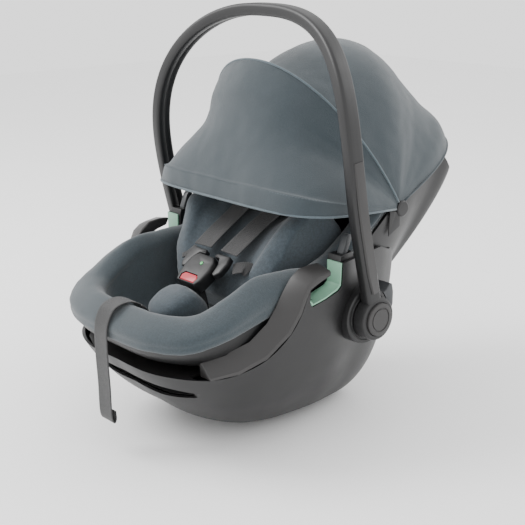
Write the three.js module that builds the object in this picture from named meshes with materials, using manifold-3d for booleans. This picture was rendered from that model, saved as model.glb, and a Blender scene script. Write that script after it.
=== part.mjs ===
// Infant car seat: rocking carrier shell, bucket, harness, swinging handle and folding canopy.
// Millimetres. +X is the seat's left side, -Y is the foot end, +Z is up.
// The flat underside of the rocker is Z = 0 and the handle turns about the line Y = 0, Z = hubZ.
import * as THREE from "three";
import { mergeVertices } from "three/addons/utils/BufferGeometryUtils.js";
import Module from "manifold-3d";

const wasm = await Module();
wasm.setup();

// ---------- driving dimensions ----------
const gap = 0.4; // air between pieces that touch
const hubZ = 176; // height of the handle axis
const hubFace = 196; // outer face of each fixed hub drum
const hubRadius = 41;
const handleRise = 408; // handle centreline above its axis
const handleFoot = 206; // half width of the handle at the hubs
const handleReach = 208.4; // half width where the legs meet the arch
const legRise = 181; // height of the straight legs above the axis
const hullTop = 290; // height where the hull's walls would stand upright
const wall = 4;
const canopyAxis = { y: 92, z: 310 };
const canopySkin = 2.5;
const recline = THREE.MathUtils.degToRad(41); // slope of the backrest
const webbing = 1.8;
const loopPoints = 36; // points round each bowl, a multiple of four
const bowlLevels = 6; // steps between the rim and the bottom of the bucket, foam and cover
const hullLevels = 7;
const slotRear = -50; // rear wall of the belt slots
const armInner = 165; // inner edge of the armrests

// ---------- materials ----------
const black = { color: 0x232324, roughness: 0.55, metalness: 0 };
const charcoal = { color: 0x444242, roughness: 0.5, metalness: 0 };
const grey = { color: 0x4c4f53, roughness: 0.5, metalness: 0 };
const mint = { color: 0x8cb99b, roughness: 0.45, metalness: 0 };
const red = { color: 0xd74150, roughness: 0.4, metalness: 0 };
const green = { color: 0x3f9a58, roughness: 0.4, metalness: 0 };
const slate = { color: 0x50646c, roughness: 0.95, metalness: 0 };
const melange = { color: 0x64727c, roughness: 0.95, metalness: 0 };
const strap = { color: 0x1f1f20, roughness: 0.8, metalness: 0 };
const steel = { color: 0xb4b6b8, roughness: 0.3, metalness: 1 };
const foam = { color: 0xb9bdbf, roughness: 0.9, metalness: 0 };

const group = new THREE.Group();

function add(name, geometry, look) {
  const mesh = new THREE.Mesh(geometry, new THREE.MeshStandardMaterial(look));
  mesh.name = name;
  group.add(mesh);
}

// Adds a piece made for the +X side, and its mirror image on the -X side.
function addPair(name, geometry, look) {
  add(`${name}_left`, geometry, look);
  add(`${name}_right`, mirrored(geometry), look);
}

// ---------- geometry helpers ----------
const at = (x, y, z) => new THREE.Vector3(x, y, z);

function fromTriangles(points, triangles) {
  const geometry = new THREE.BufferGeometry();
  const flat = points.flatMap((p) => [p.x, p.y, p.z]);
  geometry.setAttribute("position", new THREE.Float32BufferAttribute(flat, 3));
  geometry.setIndex(triangles.flat());
  return outward(geometry);
}

function signedVolume(geometry) {
  const position = geometry.getAttribute("position");
  const index = geometry.getIndex();
  const corner = (i) => new THREE.Vector3().fromBufferAttribute(position, index.getX(i));
  let volume = 0;
  for (let i = 0; i < index.count; i += 3) {
    volume += corner(i).dot(corner(i + 1).cross(corner(i + 2))) / 6;
  }
  return volume;
}

function flipped(geometry) {
  const index = geometry.getIndex();
  for (let i = 0; i < index.count; i += 3) {
    const second = index.getX(i + 1);
    index.setX(i + 1, index.getX(i + 2));
    index.setX(i + 2, second);
  }
  return geometry;
}

function outward(geometry) {
  return signedVolume(geometry) < 0 ? flipped(geometry) : geometry;
}

// Leaves only welded positions, with the faces turned outward.
function welded(geometry) {
  geometry.deleteAttribute("normal");
  geometry.deleteAttribute("uv");
  return outward(mergeVertices(geometry, 1e-4));
}

function mirrored(geometry) {
  return flipped(geometry.clone().scale(-1, 1, 1));
}

function toSolid(geometry) {
  const vertProperties = new Float32Array(geometry.getAttribute("position").array);
  const triVerts = new Uint32Array(geometry.getIndex().array);
  return new wasm.Manifold(new wasm.Mesh({ numProp: 3, vertProperties, triVerts }));
}

function fromSolid(solid) {
  const mesh = solid.getMesh();
  const geometry = new THREE.BufferGeometry();
  const position = new Float32Array(mesh.numVert * 3);
  for (let i = 0; i < mesh.numVert; i++) {
    for (let k = 0; k < 3; k++) {
      position[3 * i + k] = mesh.vertProperties[mesh.numProp * i + k];
    }
  }
  geometry.setAttribute("position", new THREE.BufferAttribute(position, 3));
  geometry.setIndex([...mesh.triVerts]);
  return geometry;
}

function cut(geometry, ...tools) {
  return fromSolid(tools.reduce((solid, tool) => solid.subtract(toSolid(tool)), toSolid(geometry)));
}

function join(geometry, ...others) {
  return fromSolid(others.reduce((solid, other) => solid.add(toSolid(other)), toSolid(geometry)));
}

function common(geometry, other) {
  return fromSolid(toSolid(geometry).intersect(toSolid(other)));
}

// Keeps the largest connected body of a cut piece, without the slivers beside it.
function mainBody(geometry) {
  const index = geometry.getIndex();
  const parent = Array.from({ length: geometry.getAttribute("position").count }, (_, i) => i);
  const find = (i) => {
    while (parent[i] !== i) i = parent[i];
    return i;
  };
  for (let i = 0; i < index.count; i += 3) {
    parent[find(index.getX(i))] = find(index.getX(i + 1));
    parent[find(index.getX(i + 1))] = find(index.getX(i + 2));
  }
  const groups = new Map();
  for (let i = 0; i < index.count; i += 3) {
    const key = find(index.getX(i));
    if (!groups.has(key)) groups.set(key, []);
    groups.get(key).push(index.getX(i), index.getX(i + 1), index.getX(i + 2));
  }
  const largest = [...groups.values()].sort((a, b) => b.length - a.length)[0];
  const kept = geometry.clone();
  kept.setIndex(largest);
  return fromSolid(toSolid(kept));
}

// Skins a row of closed rings that have the same number of points, and closes both ends.
function loft(rings) {
  const count = rings[0].length;
  const points = rings.flat();
  const triangles = [];
  for (let r = 0; r + 1 < rings.length; r++) {
    for (let i = 0; i < count; i++) {
      const a = r * count + i;
      const b = r * count + ((i + 1) % count);
      triangles.push([a, b, b + count], [a, b + count, a + count]);
    }
  }
  for (const [start, turn] of [[0, 1], [(rings.length - 1) * count, -1]]) {
    const middle = new THREE.Vector3();
    for (let i = 0; i < count; i++) middle.addScaledVector(points[start + i], 1 / count);
    points.push(middle);
    for (let i = 0; i < count; i++) {
      const pair = [start + ((i + 1) % count), start + i];
      if (turn < 0) pair.reverse();
      triangles.push([points.length - 1, ...pair]);
    }
  }
  return fromTriangles(points, triangles);
}

// Makes a sheet of rows of points into a plate: each point has a twin on the other face.
function plate(front, back) {
  const rows = front.length;
  const columns = front[0].length;
  const points = [...front.flat(), ...back.flat()];
  const other = rows * columns;
  const triangles = [];
  const quad = (a, b, c, d) => triangles.push([a, b, c], [a, c, d]);
  for (let r = 0; r + 1 < rows; r++) {
    for (let c = 0; c + 1 < columns; c++) {
      const i = r * columns + c;
      quad(i, i + 1, i + columns + 1, i + columns);
      quad(other + i + columns, other + i + columns + 1, other + i + 1, other + i);
    }
    const first = r * columns;
    const last = first + columns - 1;
    quad(first + columns, other + first + columns, other + first, first);
    quad(last, other + last, other + last + columns, last + columns);
  }
  const top = (rows - 1) * columns;
  for (let c = 0; c + 1 < columns; c++) {
    quad(c + 1, c, other + c, other + c + 1);
    quad(top + c, top + c + 1, other + top + c + 1, other + top + c);
  }
  return fromTriangles(points, triangles);
}

// A flat outline of [y, z] corners, from x = inner to x = outer.
function slab(outline, inner, outer, bevel = 0) {
  const shape = new THREE.Shape(outline.map(([y, z]) => new THREE.Vector2(y, z)));
  const options = {
    depth: outer - inner - 2 * bevel,
    bevelEnabled: bevel > 0,
    bevelSize: bevel,
    bevelThickness: bevel,
    bevelOffset: -bevel,
    bevelSegments: 2,
    curveSegments: 6,
  };
  const geometry = new THREE.ExtrudeGeometry(shape, options);
  geometry.translate(0, 0, inner + bevel);
  // extruded along +Z from an XY outline: turn to outline YZ and depth X
  geometry.applyMatrix4(new THREE.Matrix4().set(0, 0, 1, 0, 1, 0, 0, 0, 0, 1, 0, 0, 0, 0, 0, 1));
  return welded(geometry);
}

function box(x0, x1, y0, y1, z0, z1) {
  const geometry = new THREE.BoxGeometry(x1 - x0, y1 - y0, z1 - z0);
  return welded(geometry.translate((x0 + x1) / 2, (y0 + y1) / 2, (z0 + z1) / 2));
}

// A turned piece on the handle axis, or on an axis along X through y, z. Profile: [x, radius].
function turned(profile, y = 0, z = hubZ, segments = 40) {
  const points = profile.map(([x, radius]) => new THREE.Vector2(radius, x));
  const geometry = new THREE.LatheGeometry(points, segments);
  return welded(geometry.rotateZ(-Math.PI / 2).translate(0, y, z));
}

function smooth(points, closed = false) {
  return new THREE.CatmullRomCurve3(points, closed);
}

const mix = THREE.MathUtils.lerp;

// ---------- open bowls, for the hull, bucket, foam and cover ----------
// Half an outline from the foot end to the head end, mirrored and rounded into a closed loop.
function loop(half) {
  const right = half.slice(1, -1).reverse().map((p) => [-p[0], p[1], p[2]]);
  const curve = smooth([...half, ...right].map((p) => at(...p)), true);
  return Array.from({ length: loopPoints }, (_, i) => curve.getPoint(i / loopPoints));
}

// Moves a half outline inward by depth and up by rise.
function inward(half, depth, rise = 0) {
  return half.map(([x, y, z]) => {
    const middleY = THREE.MathUtils.clamp(y, -120, 60);
    const length = Math.hypot(x, y - middleY) || 1;
    return [x - (depth * x) / length, y - (depth * (y - middleY)) / length, z + rise];
  });
}

// Share of the way from the foot end to the head end of each point of a loop, 0 to 1.
const along = (i) => 1 - Math.abs(1 - (2 * i) / loopPoints);

// The ring at level 0, the rim, to 1, the bottom, of a bowl between two loops. The squareness
// of its walls goes from foot over side to head.
function bowlRing(rim, bottom, squareness, level) {
  const [foot, side, head] = squareness;
  return rim.map((top, i) => {
    const s = along(i);
    const power = s < 0.5 ? mix(foot, side, s * 2) : mix(side, head, s * 2 - 1);
    const inwards = Math.cos((level * Math.PI) / 2) ** (2 / power);
    const down = Math.sin((level * Math.PI) / 2) ** (2 / power);
    const low = bottom[i];
    return at(mix(low.x, top.x, inwards), mix(low.y, top.y, inwards), mix(top.z, low.z, down));
  });
}

const levels = (count) => Array.from({ length: count + 1 }, (_, i) => i / count);

function bowlRings(rim, bottom, squareness, count) {
  return levels(count).map((level) => bowlRing(rim, bottom, squareness, level));
}

// ---------- bucket and foam liner ----------
const bucketRim = [
  [0, -302, 172], [80, -296, 171], [134, -266, 178], [156, -220, 192], [160, -160, 208],
  [160, -95, 222], [159, -35, 232], [158, 25, 262], [156, 85, 305], [150, 145, 344],
  [136, 214, 372], [128, 252, 340], [70, 272, 348], [0, 278, 350],
];
const bucketBase = [
  [0, -205, 128], [40, -203, 128], [72, -190, 126], [92, -165, 120], [98, -135, 112],
  [98, -100, 101], [98, -65, 95], [97, -40, 92], [95, -22, 90], [90, -10, 89],
  [78, 0, 89], [60, 4, 89], [32, 6, 89], [0, 6, 89],
];
const cavityRim = [
  [0, -260, 199], [72, -255, 199], [104, -229, 204], [115, -198, 217], [120, -156, 236],
  [125, -104, 240], [127, -54, 244], [128, 5, 274], [127, 62, 316], [122, 122, 352],
  [108, 172, 376], [84, 196, 386], [45, 208, 390], [0, 212, 391],
];
const cavityBase = [
  [0, -190, 152], [34, -188, 152], [58, -176, 151], [72, -154, 148], [78, -128, 146],
  [78, -104, 145], [78, -86, 145], [76, -72, 146], [74, -62, 147], [68, -56, 148],
  [58, -52, 149], [42, -50, 149], [22, -50, 149], [0, -50, 149],
];
const bucketSquareness = [1.9, 1.7, 1.05];
const cavitySquareness = [2.4, 2.4, 1.12];
const coverThickness = 6;
const foamClearance = 3.5;

// Front edge of the crown, the plastic that closes the head end of the bucket. Along the sides
// it is only the rounded edge of the wall.
const bucketCrown = [
  ...inward(bucketRim.slice(0, 10), wall * 0.3, 0.6),
  [124, 204, 381], [100, 216, 391], [52, 228, 397], [0, 232, 398],
];
const crownUnder = (depth, rise) => [
  ...inward(bucketRim.slice(0, 10), depth + wall * 0.7, rise),
  ...inward([[120, 201, 378], [97, 213, 388], [51, 225, 394], [0, 229, 395]], depth, rise),
];
// The padded roll of the cover: its crest, its widest line and its lower hem.
const coverCrest = [
  [0, -274, 209], [77, -269, 208], [117, -243, 213], [133, -205, 231], [137, -159, 251],
  [140, -104, 252], [143, -52, 252], [144, 8, 280], [142, 66, 320], [136, 126, 356],
  [112, 184, 386], [88, 202, 396], [46, 214, 401], [0, 218, 402],
];
const coverShoulder = [
  [0, -307, 188], [84, -300, 187], [140, -267, 192], [160.5, -218, 208], [162.3, -160, 228],
  [162.3, -98, 238], [159, -42, 246], [156, 20, 272], [154, 80, 314], [145, 138, 352],
  [118, 194, 384], [94, 208, 394], [49, 220, 399], [0, 224, 400],
];
const coverHem = [
  [0, -306, 168], [82, -299, 168], [137, -269, 172], [159, -221, 186], [162.3, -160, 200],
  [162.3, -95, 216], [155, -36, 238], [152, 24, 264], [150, 84, 306], [142, 142, 345],
  [118, 196, 378], [94, 210, 389], [49, 222, 394], [0, 226, 395],
];

function bowlShape(rim, base, squareness, depth, count = bowlLevels) {
  const top = loop(inward(rim, depth));
  const bottom = loop(inward(base, depth, depth));
  return bowlRings(top, bottom, squareness, count);
}

const raised = (half, rise) => half.map(([x, y, z]) => [x, y, z + rise]);

function buildBucket() {
  const outer = bowlShape(bucketRim, bucketBase, bucketSquareness, 0);
  const inner = bowlShape(bucketRim, bucketBase, bucketSquareness, wall);
  const under = loop(crownUnder(0, 0.6));
  return loft([...outer.reverse(), loop(bucketCrown), under, ...inner]);
}

// The hollow that the foam and cover line, from its top edge down.
function linerRings(grow) {
  const rim = raised(cavityRim, grow - 7);
  return bowlShape(rim, cavityBase, cavitySquareness, grow - coverThickness - gap);
}

// Foam between the bucket and the cover.
function buildFoam() {
  const outer = bowlShape(bucketRim, bucketBase, bucketSquareness, wall + foamClearance);
  const under = loop(crownUnder(2 * foamClearance, -3 * foamClearance));
  return loft([...outer.reverse(), under, ...linerRings(-2 * gap)]);
}

// Everything under the cover: the bucket with its foam liner, grown by a clearance.
function seatCore(grow) {
  const outer = bowlShape(bucketRim, bucketBase, bucketSquareness, -grow);
  return loft([...outer.reverse(), loop(raised(bucketCrown, grow)), ...linerRings(grow)]);
}

const bucketRoom = () => seatCore(1.2);

add("seat_bucket", buildBucket(), black);
add("foam_liner", buildFoam(), foam);

// ---------- carrier hull ----------
const hullRim = [
  [0, -332], [95, -324], [165, -278], [191, -210], [198, -120],
  [194, -50], [176, 10], [154, 84], [120, 132], [0, 146],
].map(([x, y]) => [x, y, hullTop]);
const hullBase = [
  [0, -72], [18, -71], [34, -62], [44, -44], [46, -20],
  [46, 4], [46, 28], [44, 50], [30, 66], [0, 70],
].map(([x, y]) => [x, y, 0]);
const hullSquareness = [2, 2.2, 2.6];

function hullLoops(depth) {
  return { rim: loop(inward(hullRim, depth)), bottom: loop(inward(hullBase, 0, depth)) };
}

function hullRings(depth) {
  const { rim, bottom } = hullLoops(depth);
  return bowlRings(rim, bottom, hullSquareness, hullLevels);
}

// Half width of the hull, shrunk by depth, at a place along it and a height.
function hullHalfWidth(y, z, depth) {
  const { rim, bottom } = hullLoops(depth);
  let low = 0;
  let high = 1;
  for (let step = 0; step < 24; step++) {
    const level = (low + high) / 2;
    const ring = bowlRing(rim, bottom, hullSquareness, level);
    if (ring[loopPoints / 4].z > z) low = level;
    else high = level;
  }
  const ring = bowlRing(rim, bottom, hullSquareness, low);
  const i = ring.findIndex((point, k) => point.y <= y && ring[k + 1].y > y);
  return mix(ring[i].x, ring[i + 1].x, (y - ring[i].y) / (ring[i + 1].y - ring[i].y));
}

// Armrest trim, from the tip over the belt slot down to the front lip: stations of [y, z] for
// the outer top edge, the inner top edge and the edge of the hull under it.
const trimStations = [
  [[-75, 255], [-72, 261], [-76, 250]],
  [[-96, 252], [-88, 262], [-93, 246]],
  [[-108, 249], [-108, 260], [-106, 241]],
  [[-118, 242], [-122, 251], [-113, 238]],
  [[-125, 229], [-136, 234], [-119, 226]],
  [[-131, 210], [-149, 215], [-126, 206]],
  [[-146, 185], [-164, 197], [-141, 181]],
  [[-178, 157], [-188, 175], [-174, 152]],
  [[-214, 142], [-219, 162], [-212, 137]],
  [[-245, 135], [-247, 155], [-245, 131.5]],
];
const sweepEdge = trimStations.slice(3).map(([, , under]) => under).reverse();

// Side view of the belt slot in the hull.
const slotEdge = [
  [-113, 220], [-108, 213], [-82, 218], [-57, 224], [slotRear, 230], [slotRear, 262],
];
const rearEdge = [[60, 258], [90, 246], [200, 240]];

// Front grip: a pocket that runs round the nose of the hull and narrows towards its ends.
const gripOpening = [
  [-340, 114], [-290, 112], [-246, 106], [-243, 98], [-262, 90], [-300, 84], [-340, 84],
];
const gripDepth = 26;

function buildHull() {
  const whole = loft([...hullRings(0).reverse(), ...hullRings(wall)]);
  const edge = [[-400, 131.5], ...sweepEdge, ...slotEdge, ...rearEdge];
  const above = slab([...edge, [200, 400], [-400, 400]], -260, 260);
  return mainBody(cut(whole, above, slab(gripOpening, -260, 260), bucketRoom()));
}

function hullSolid(depth) {
  return loft(hullRings(depth));
}

function buildGripPocket() {
  const around = gripOpening.map(([y, z]) => [y + (y > -250 ? 3 : 0), z + (z > 100 ? 2.5 : -2.5)]);
  const outside = common(hullSolid(wall + gap), slab(around, -200, 200));
  const back = cut(outside, hullSolid(gripDepth + wall));
  const hollow = cut(slab(gripOpening, -200, 200), hullSolid(gripDepth + 1));
  return cut(back, hollow);
}

// Shelf that follows the inside of the front lip, with a hole each side.
const shelf = { top: 125, bottom: 121, width: 46, rear: -150 };
const pin = { x: 139, y: -213, length: 22, radius: 3.6 };

function buildShelf() {
  const layer = box(-200, 200, -340, shelf.rear, shelf.bottom, shelf.top);
  const ring = cut(common(hullSolid(wall + gap), layer), hullSolid(shelf.width));
  const hole = box(104, 136, -246, -226, shelf.bottom - 5, shelf.top + 5);
  return mainBody(cut(ring, hole, mirrored(hole), bucketRoom()));
}

// Guide pin lying on the shelf behind each hole: a turned steel bar with two collars.
function buildPin() {
  const end = pin.radius + 1.5;
  const x0 = pin.x - pin.length / 2;
  const x1 = pin.x + pin.length / 2;
  const profile = [
    [x0, 0], [x0, end], [x0 + 4, end], [x0 + 4, pin.radius], [x1 - 8, pin.radius],
    [x1 - 8, end], [x1 - 4, end], [x1 - 4, pin.radius], [x1, pin.radius], [x1, 0],
  ];
  return turned(profile, pin.y, shelf.top + end + gap, 16);
}

add("rocker_shell", buildHull(), black);
add("grip_pocket", buildGripPocket(), black);
add("front_shelf", buildShelf(), charcoal);
addPair("guide_pin", buildPin(), steel);

// ---------- side posts, armrests and belt guides ----------
const post = { inner: 163, top: 270, rear: 78 };
const guide = { inner: 166, wall: 2.6 };
const leverSlot = { inner: 168, outer: 181, front: -40, rear: -26, depth: 22 };

// Post inside the hull, under and behind the belt guide, with the lever's pocket in its top.
function buildPost() {
  const outline = [
    [slotRear, 262], [slotRear + 2, post.top], [-18, post.top], [-12, 258], [60, 256],
    [88, 244], [82, 200], [post.rear, 150], [-110, 150], [-120, 200], [-114, 214],
    [-108, 213], [-82, 218], [-57, 224], [slotRear, 230],
  ];
  const raw = slab(outline, post.inner, 200);
  const pocket = box(
    leverSlot.inner, leverSlot.outer, leverSlot.front, leverSlot.rear,
    post.top - leverSlot.depth, post.top + 10,
  );
  return mainBody(cut(common(raw, hullSolid(wall + 2 * gap)), pocket));
}

// L-shaped channel of the belt guide: a floor and a rear wall, lining the slot.
function buildGuide() {
  const t = guide.wall;
  const outline = [
    [-112, 222], [-107.5, 213.6], [-82, 218.6], [-57.2, 224.5], [slotRear - gap, 230.2],
    [slotRear - gap, 262], [slotRear - gap - t, 262], [slotRear - gap - t, 232],
    [-59, 225.6 + t * 0.8], [-82, 218.6 + t], [-105, 214 + t], [-110, 222],
  ];
  const sheet = slab(outline, guide.inner, 200);
  const latchHole = box(176, 182, -104, -96, 200, 240);
  return cut(common(sheet, hullSolid(1)), latchHole);
}

function buildTrim() {
  const edge = trimStations.map(([, , under]) => at(0, ...under));
  const rings = trimStations.map(([outerTop, innerTop, [y, z]], i) => {
    const before = edge[Math.max(i - 1, 0)];
    const after = edge[Math.min(i + 1, edge.length - 1)];
    const away = after.clone().sub(before).cross(at(1, 0, 0)).normalize().multiplyScalar(gap);
    const outside = hullHalfWidth(y, z, 0);
    const inside = Math.min(armInner, outside - 22);
    return [
      at(outside, y + away.y, z + away.z),
      at(outside - 0.5, ...outerTop),
      at(outside - 3, outerTop[0], outerTop[1] + 2),
      at(inside + 2, ...innerTop),
      at(inside, innerTop[0], innerTop[1] - 2),
      at(inside, y + away.y, z + away.z),
    ];
  });
  return mainBody(cut(loft(rings), bucketRoom()));
}

// Release lever for the base adapter: a rounded tab that leans back out of the post.
function buildLever() {
  const outline = [
    [-38, 250], [-28.5, 250], [-27.5, 270], [-19, 290], [-21, 294], [-26, 295], [-30, 291], [-38, 271],
  ];
  return slab(outline, leverSlot.inner + 0.8, leverSlot.outer - 0.8, 1.5);
}

addPair("side_post", buildPost(), black);
addPair("belt_guide", buildGuide(), mint);
addPair("armrest_trim", buildTrim(), charcoal);
addPair("adapter_lever", buildLever(), grey);

// ---------- hubs and carry handle ----------
const hub = { inner: 168, rim: 3 };
const cap = { radius: 23.5, inner: 215, outer: 219.5, headRadius: 31 };
const handleDepth = { x: 18, y: 26 };
const handlePower = 2.5; // squareness of the arch
const legShare = 0.3; // share of the centreline's parameter that is straight leg

// Centreline of half the handle: a straight leg, then a squarish arch.
function handlePoint(share) {
  let x;
  let rise;
  if (share < legShare) {
    const s = share / legShare;
    x = mix(handleFoot, handleReach, 1 - (1 - s) ** 2);
    rise = legRise * s;
  } else {
    const angle = (((share - legShare) / (1 - legShare)) * Math.PI) / 2;
    x = handleReach * Math.cos(angle) ** (2 / handlePower);
    rise = legRise + (handleRise - legRise) * Math.sin(angle) ** (2 / handlePower);
  }
  const u = rise / 400;
  return at(x, -94 * u - 75 * u ** 2 + 152.6 * u ** 3, hubZ + rise);
}

// Flat rounded section: corners cut at 45 degrees, in the plane of side and forward.
function handleRing(centre, side, forward, width, depth) {
  const chamfer = 4;
  const a = width / 2;
  const b = depth / 2;
  return [
    [a, -b + chamfer], [a, b - chamfer], [a - chamfer, b], [-a + chamfer, b],
    [-a, b - chamfer], [-a, -b + chamfer], [-a + chamfer, -b], [a - chamfer, -b],
  ].map(([u, v]) => centre.clone().addScaledVector(side, u).addScaledVector(forward, v));
}

function handleFrame(path, i) {
  const before = path[Math.max(i - 1, 0)];
  const after = path[Math.min(i + 1, path.length - 1)];
  const tangent = after.clone().sub(before).normalize();
  const side = at(0, 1, 0).cross(tangent).normalize();
  const forward = tangent.clone().cross(side).normalize();
  return { side, forward };
}

const legSteps = 6;
const archSteps = 12;
const halfPath = [
  ...Array.from({ length: legSteps }, (_, i) => handlePoint((legShare * (i + 0.35)) / legSteps)),
  ...Array.from({ length: archSteps }, (_, i) => handlePoint(mix(legShare, 1, i / archSteps))),
];

function buildHandle() {
  const left = halfPath.map((p) => at(-p.x, p.y, p.z));
  const path = [...halfPath, handlePoint(1), ...left.reverse()];
  const rings = path.map((centre, i) => {
    const { side, forward } = handleFrame(path, i);
    return handleRing(centre, side, forward, handleDepth.x, handleDepth.y);
  });
  const face = hubFace + gap;
  const headProfile = [
    [face, 0], [face, cap.headRadius], [cap.inner - 2, cap.headRadius],
    [cap.inner + 1, cap.headRadius - 4], [cap.inner + 1, 0],
  ];
  const head = turned(headProfile);
  const recess = turned([
    [cap.inner - 2, 0], [cap.inner - 2, cap.radius + gap], [cap.inner + 3, cap.radius + gap],
    [cap.inner + 3, 0],
  ]);
  const whole = join(loft(rings), head, mirrored(head));
  const boss = turned([[190, 0], [190, hubRadius + 2], [face, hubRadius + 2], [face, 0]]);
  return cut(whole, recess, mirrored(recess), boss, mirrored(boss));
}

// Cover plate on the outer face of each leg, with a step where it ends.
function buildLegCover() {
  const start = 1;
  const end = legSteps + 1;
  const rows = halfPath.slice(start, end + 1).map((centre, k) => {
    const { side, forward } = handleFrame(halfPath, k + start);
    const outwardX = side.x > 0 ? side : side.clone().negate();
    const width = handleDepth.y - (k === 0 ? 14 : 8);
    const face = centre.clone().addScaledVector(outwardX, handleDepth.x / 2 + gap);
    const thick = k === end - start ? 0.8 : 2.6;
    const corner = (v, lift) =>
      face.clone().addScaledVector(forward, v).addScaledVector(outwardX, lift);
    return [
      corner(-width / 2, 0), corner(-width / 2 + 1.5, thick),
      corner(width / 2 - 1.5, thick), corner(width / 2, 0),
    ];
  });
  return loft(rows);
}

function buildDrum() {
  const profile = [
    [hub.inner, 0], [hub.inner, hubRadius], [hubFace - hub.rim, hubRadius],
    [hubFace, hubRadius - hub.rim], [hubFace, 0],
  ];
  const drum = turned(profile);
  return cut(drum, hullSolid(-gap));
}

function buildCap() {
  const profile = [
    [cap.inner - 1.6, 0], [cap.inner - 1.6, cap.radius], [cap.outer - 2, cap.radius],
    [cap.outer, cap.radius - 3], [cap.outer, 0],
  ];
  return turned(profile);
}

add("carry_handle", buildHandle(), black);
addPair("handle_leg_cover", buildLegCover(), charcoal);
addPair("hub_drum", buildDrum(), black);
addPair("hub_cap", buildCap(), charcoal);

// The release buttons start just outside the hull and stop short of the swinging handle.
const buttonRoot = 170;
const buttonFace = hubFace - 0.6;

// Release button behind each hub: an ear that is pressed in towards the seat.
function buildReleaseButton() {
  const outline = [
    [26, 200], [38, 206], [45, 214], [50, 212], [53, 200], [53, 182], [48, 170], [43.5, 172],
    [43.5, 180], [38, 192],
  ];
  const room = hubRadius + gap;
  const drum = turned([[buttonRoot - 5, 0], [buttonRoot - 5, room], [210, room], [210, 0]]);
  return cut(slab(outline, buttonRoot, buttonFace, 2), drum);
}

addPair("handle_release_button", buildReleaseButton(), grey);

// ---------- seat cover and room for the child ----------
function buildCover() {
  const top = bowlShape(cavityRim, cavityBase, cavitySquareness, 0).reverse();
  const hidden = bowlShape(bucketRim, bucketBase, bucketSquareness, wall / 2, 4);
  const roll = [coverCrest, coverShoulder, coverHem].map(loop);
  return mainBody(cut(loft([...top, ...roll, ...hidden]), seatCore(2 * gap)));
}

// The room inside the seat, open upward, shrunk by depth.
function cavity(depth) {
  const rings = bowlShape(cavityRim, cavityBase, cavitySquareness, depth).reverse();
  return loft([...rings, rings.at(-1).map((p) => at(p.x, p.y, p.z + 160))]);
}

add("seat_cover", buildCover(), slate);

// ---------- insert and headrest ----------
// Point in the seat's frame: to the side, along the backrest from an origin, and out of it.
const leanPoint = (x, [y, z], up) =>
  at(x, y - Math.sin(recline) * up, z + Math.cos(recline) * up);

// U-shaped pad: each station holds its middle [y, z], half width, wing height and edge width.
function uPad(stations, depthBelow) {
  const rings = stations.map(({ middle, width, wing, edge }) => {
    const inside = width - edge;
    const upper = [
      [-width, wing * 0.8], [-width + edge * 0.3, wing], [-inside, wing * 0.92],
      [-inside * 0.86, wing * 0.35], [-inside * 0.55, 3], [0, 0], [inside * 0.55, 3],
      [inside * 0.86, wing * 0.35], [inside, wing * 0.92], [width - edge * 0.3, wing],
      [width, wing * 0.8],
    ];
    const lower = [[width, -depthBelow], [-width, -depthBelow]];
    return [...upper, ...lower].map(([x, up]) => leanPoint(x, middle, up));
  });
  return loft(rings);
}

const insertStations = [
  { middle: [-122, 190], width: 84, wing: 6, edge: 22 },
  { middle: [-100, 222], width: 104, wing: 18, edge: 24 },
  { middle: [-50, 270], width: 118, wing: 40, edge: 26 },
  { middle: [-18, 288], width: 121, wing: 48, edge: 26 },
  { middle: [10, 302], width: 121, wing: 48, edge: 26 },
];
const headrestStations = [
  { middle: [24, 314], width: 112, wing: 30, edge: 26 },
  { middle: [44, 328], width: 116, wing: 52, edge: 30 },
  { middle: [110, 368], width: 110, wing: 60, edge: 30 },
  { middle: [152, 394], width: 92, wing: 46, edge: 28 },
  { middle: [168, 404], width: 74, wing: 22, edge: 24 },
];
const headrestPadDepth = 12;

function buildInsert() {
  return mainBody(common(uPad(insertStations, 120), cavity(2 * gap)));
}

function buildHeadrestPad() {
  return common(uPad(headrestStations, headrestPadDepth), cavity(6));
}

// Plastic tray that carries the headrest pad.
function buildHeadrestShell() {
  const stations = headrestStations.map(({ middle: [y, z], width }) => {
    const drop = headrestPadDepth + gap;
    const rear = [y + Math.sin(recline) * drop, z - Math.cos(recline) * drop];
    return { middle: rear, width: width - 14, wing: 0, edge: 20 };
  });
  const rings = stations.map(({ middle, width }) =>
    [[-width, 0], [0, 0], [width, 0], [width, -3], [0, -3], [-width, -3]].map(([x, up]) =>
      leanPoint(x, middle, up)));
  return common(loft(rings), cavity(6));
}

add("newborn_insert", buildInsert(), melange);
add("headrest_pad", buildHeadrestPad(), melange);
add("headrest_shell", buildHeadrestShell(), black);

// ---------- harness ----------
// Flat strap through a list of points; its flat side faces the given direction.
function strapAlong(points, width, facing, steps = 10, thickness = webbing) {
  const curve = smooth(points);
  const rings = levels(steps).map((t) => {
    const centre = curve.getPoint(t);
    const tangent = curve.getTangent(t);
    const side = tangent.clone().cross(facing).normalize();
    const out = side.clone().cross(tangent).normalize();
    const corner = (u, v) =>
      centre.clone().addScaledVector(side, u * width / 2).addScaledVector(out, v * thickness / 2);
    return [corner(-1, -1), corner(1, -1), corner(1, 1), corner(-1, 1)];
  });
  return loft(rings);
}

const chest = at(0, -0.5, 0.87);
const shoulderPath = [
  at(29, -112, 252), at(30, -89, 266.5), at(31, -51, 288), at(34, -19, 304.5), at(36, 4, 315),
  at(36.5, 12.5, 314), at(36.5, 15, 309.5),
];
const waistPath = [at(48.8, -121.8, 235), at(55, -116.8, 237.2), at(62, -111, 238), at(69, -108, 235)];

addPair("shoulder_strap", strapAlong(shoulderPath, 37, chest, 14), strap);

// Buckle: its own frame lies back along the crotch strap.
const buckle = { y: -142, z: 224, size: 0.9, tilt: THREE.MathUtils.degToRad(38) };

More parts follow.
